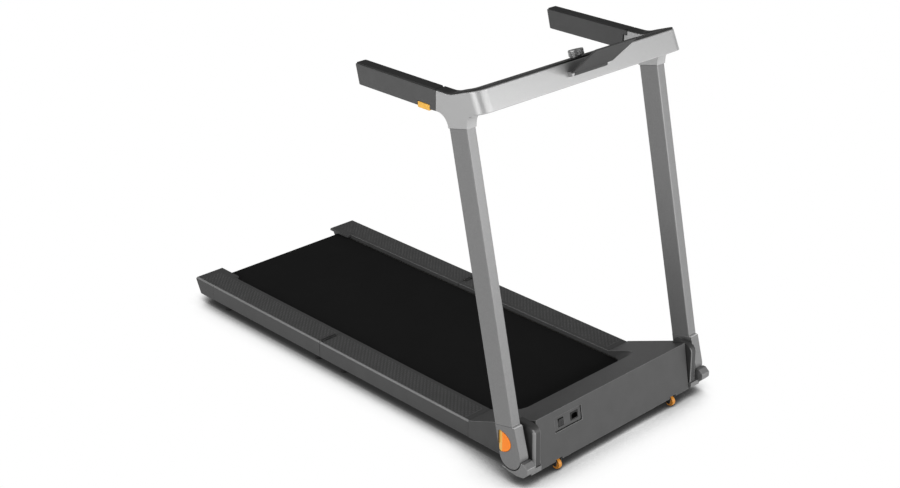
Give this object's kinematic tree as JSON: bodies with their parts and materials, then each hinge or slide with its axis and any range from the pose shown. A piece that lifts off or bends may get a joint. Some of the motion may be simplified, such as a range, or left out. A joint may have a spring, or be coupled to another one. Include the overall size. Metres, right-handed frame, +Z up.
{
  "type": "treadmill",
  "caption": "Folding home treadmill: a deck that folds over its middle seam, a hood over the drive, and a fold-down handle frame with swing-in armrests.",
  "frame": {"origin": "on the floor, under the middle of the bounding box", "axes": "+Z up, +Y the way the runner faces (towards the hood), +X the runner's right"},
  "size_m": [0.7286, 1.446, 1.0561],
  "materials": {
    "black_steel": "satin black powder coat",
    "rail_plastic": "moulded, with an anti-slip tread on top",
    "plain_steel": "turned or stamped, bare",
    "deck_board": "dark laminated fibreboard",
    "running_belt": "matt black with a fine woven-look surface",
    "black_rubber": "matt",
    "silver_metal": "silver paint, fine grain",
    "silver_shell": "metallic silver paint, satin",
    "black_plastic": "fine moulded texture",
    "hood_plastic": "fine moulded texture",
    "wheel_plastic": "smooth",
    "orange_plastic": "smooth",
    "armrest_plastic": "soft-touch, matt"
  },
  "bodies": {
    "front_deck": {"front_frame": "black_steel", "front_rail_right": "rail_plastic", "front_rail_left": "rail_plastic", "hinge_leaf_front_right": "plain_steel", "hinge_leaf_front_left": "plain_steel", "deck_hinge_pin_right": "plain_steel", "deck_hinge_pin_left": "plain_steel", "front_deck_board": "deck_board", "running_belt_front": "running_belt", "drive_motor": "black_steel", "drive_belt": "black_rubber", "motor_controller": "silver_metal", "front_belly_pan": "black_plastic", "middle_foot_front_right": "black_rubber", "middle_foot_front_left": "black_rubber", "wheel_fork_right": "black_steel", "wheel_fork_left": "black_steel", "hood_cover": "hood_plastic", "inlet_panel": "hood_plastic", "power_inlet": "black_plastic", "corner_guard_right": "hood_plastic", "corner_guard_left": "hood_plastic", "pivot_casting_right": "silver_metal", "pivot_casting_left": "silver_metal", "pivot_pin_right": "plain_steel", "pivot_pin_left": "plain_steel"},
    "rear_deck": {"rear_frame": "black_steel", "rear_rail_right": "rail_plastic", "rear_rail_left": "rail_plastic", "rear_end_cap_right": "rail_plastic", "rear_end_cap_left": "rail_plastic", "hinge_leaf_rear_right": "plain_steel", "hinge_leaf_rear_left": "plain_steel", "rear_deck_board": "deck_board", "running_belt_rear": "running_belt", "rear_belly_pan": "black_plastic", "rear_foot_right": "black_rubber", "rear_foot_left": "black_rubber", "middle_foot_rear_right": "black_rubber", "middle_foot_rear_left": "black_rubber"},
    "rear_roller": {"rear_roller": "plain_steel"},
    "drive_roller": {"drive_roller": "plain_steel"},
    "motor_pulley": {"motor_pulley": "plain_steel"},
    "transport_wheel_right": {"transport_wheel_right": "wheel_plastic"},
    "transport_wheel_left": {"transport_wheel_left": "wheel_plastic"},
    "power_switch": {"power_switch": "black_plastic"},
    "handle_frame": {"boot_right": "silver_metal", "boot_left": "silver_metal", "upright_right": "silver_metal", "upright_left": "silver_metal", "handlebar": "silver_shell", "handlebar_top_cover": "hood_plastic"},
    "boot_release_right": {"boot_release_right": "orange_plastic"},
    "boot_release_left": {"boot_release_left": "orange_plastic"},
    "armrest_right": {"armrest_right": "armrest_plastic"},
    "armrest_left": {"armrest_left": "armrest_plastic"},
    "armrest_release_right": {"armrest_release_right": "orange_plastic"},
    "armrest_release_left": {"armrest_release_left": "orange_plastic"},
    "speed_knob": {"speed_knob": "silver_shell"},
    "tablet_rest": {"tablet_rest": "black_plastic"}
  },
  "joints": [
    {"name": "deck_fold", "type": "hinge", "parent": "front_deck", "child": "rear_deck", "pos_m": [0, -0.131, 0.0771], "axis": [-1, 0, 0], "range_deg": [0, 180]},
    {"name": "handle_fold", "type": "hinge", "parent": "front_deck", "child": "handle_frame", "pos_m": [0, 0.662, 0.076], "axis": [1, 0, 0], "range_deg": [0, 70]},
    {"name": "armrest_fold_right", "type": "hinge", "parent": "handle_frame", "child": "armrest_right", "pos_m": [0.337, 0.3936, 0.941], "axis": [0, 0, -1], "range_deg": [0, 90]},
    {"name": "armrest_fold_left", "type": "hinge", "parent": "handle_frame", "child": "armrest_left", "pos_m": [-0.337, 0.3936, 0.941], "axis": [0, 0, 1], "range_deg": [0, 90]},
    {"name": "boot_release_press_right", "type": "slide", "parent": "handle_frame", "child": "boot_release_right", "axis": [-1, 0, 0], "range_m": [0, 0.004], "stiffness_N_per_m": 400, "springref_m": -0.002},
    {"name": "boot_release_press_left", "type": "slide", "parent": "handle_frame", "child": "boot_release_left", "axis": [1, 0, 0], "range_m": [0, 0.004], "stiffness_N_per_m": 400, "springref_m": -0.002},
    {"name": "armrest_release_press_right", "type": "slide", "parent": "armrest_right", "child": "armrest_release_right", "axis": [0, 0, 1], "range_m": [0, 0.003], "stiffness_N_per_m": 300, "springref_m": -0.002},
    {"name": "armrest_release_press_left", "type": "slide", "parent": "armrest_left", "child": "armrest_release_left", "axis": [0, 0, 1], "range_m": [0, 0.003], "stiffness_N_per_m": 300, "springref_m": -0.002},
    {"name": "tablet_tilt", "type": "hinge", "parent": "handle_frame", "child": "tablet_rest", "pos_m": [0, 0.56165, 0.97518], "axis": [1, 0, 0], "range_deg": [0, 66]},
    {"name": "speed_knob_turn", "type": "hinge", "parent": "handle_frame", "child": "speed_knob", "pos_m": [0, 0.5193, 0.9952], "axis": [0, -0.3335, 0.9428], "continuous": true},
    {"name": "power_switch_rock", "type": "hinge", "parent": "front_deck", "child": "power_switch", "pos_m": [0.205, 0.6848, 0.1205], "axis": [1, 0, 0], "range_deg": [0, 12]},
    {"name": "transport_wheel_spin_right", "type": "hinge", "parent": "front_deck", "child": "transport_wheel_right", "pos_m": [0.227, 0.698, 0.014], "axis": [1, 0, 0], "continuous": true},
    {"name": "transport_wheel_spin_left", "type": "hinge", "parent": "front_deck", "child": "transport_wheel_left", "pos_m": [-0.227, 0.698, 0.014], "axis": [1, 0, 0], "continuous": true},
    {"name": "drive_roller_spin", "type": "hinge", "parent": "front_deck", "child": "drive_roller", "pos_m": [0, 0.567, 0.0472], "axis": [1, 0, 0], "continuous": true},
    {"name": "motor_pulley_spin", "type": "hinge", "parent": "front_deck", "child": "motor_pulley", "pos_m": [-0.236, 0.623, 0.08], "axis": [1, 0, 0], "continuous": true},
    {"name": "rear_roller_spin", "type": "hinge", "parent": "rear_deck", "child": "rear_roller", "pos_m": [0, -0.682, 0.0472], "axis": [1, 0, 0], "continuous": true}
  ],
  "couplings": [
    {"joint": "motor_pulley_spin", "follows": "drive_roller_spin", "ratio": 2.2},
    {"joint": "rear_roller_spin", "follows": "drive_roller_spin", "ratio": 1}
  ]
}
